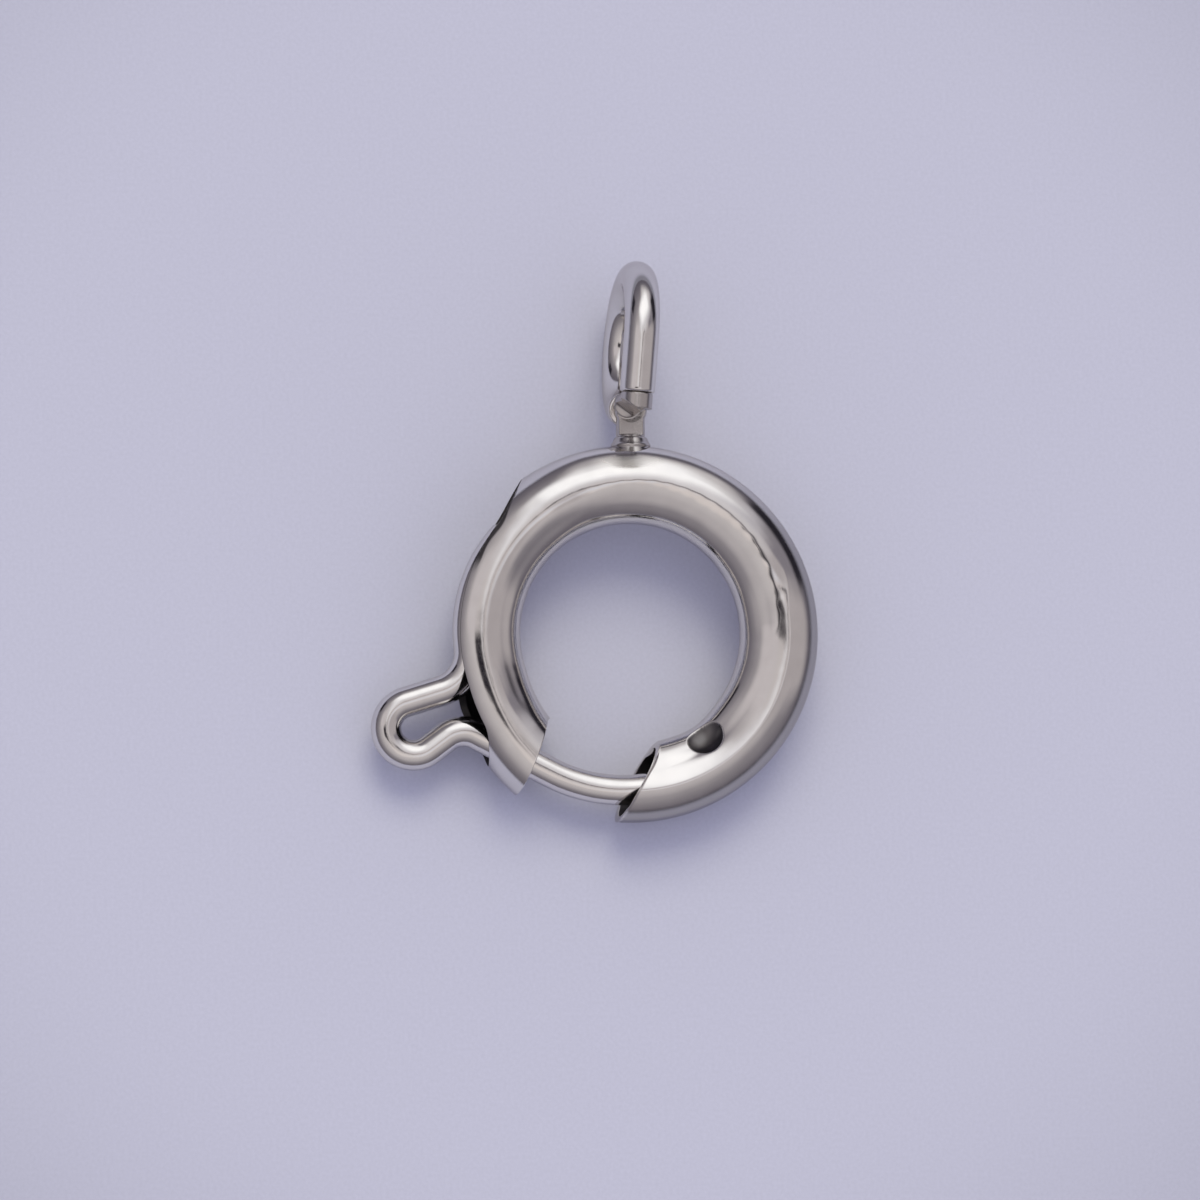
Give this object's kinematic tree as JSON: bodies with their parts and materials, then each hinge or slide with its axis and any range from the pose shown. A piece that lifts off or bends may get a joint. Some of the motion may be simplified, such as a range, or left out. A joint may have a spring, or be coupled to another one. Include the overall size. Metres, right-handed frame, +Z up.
{
  "type": "spring ring clasp",
  "caption": "Round tube clasp with a sprung wire gate moved by a small thumb loop, and a fixed eye on a short stem.",
  "frame": {"origin": "middle of the bounding box's base, on the surface that the clasp lies on", "axes": "+Y along the clasp from the gate towards the eye, +Z up from the surface, +X to the right seen from above"},
  "size_m": [0.0142, 0.0178, 0.0053],
  "materials": {
    "polished_steel": "mirror polished stainless steel with fine rub marks",
    "spring_wire": "drawn spring wire, unpolished"
  },
  "bodies": {
    "ring": {"ring_body": "polished_steel", "coil_spring": "spring_wire"},
    "bolt": {"bolt": "polished_steel"}
  },
  "joints": [
    {"name": "bolt_slide", "type": "hinge", "parent": "ring", "child": "bolt", "pos_m": [0.00113, -0.00294, 0.00173], "axis": [0.0306, 0.1002, -0.9945], "range_deg": [0, 46], "stiffness_Nm_per_rad": 0.009, "springref_deg": -28.65, "deforming": ["coil_spring"]}
  ]
}
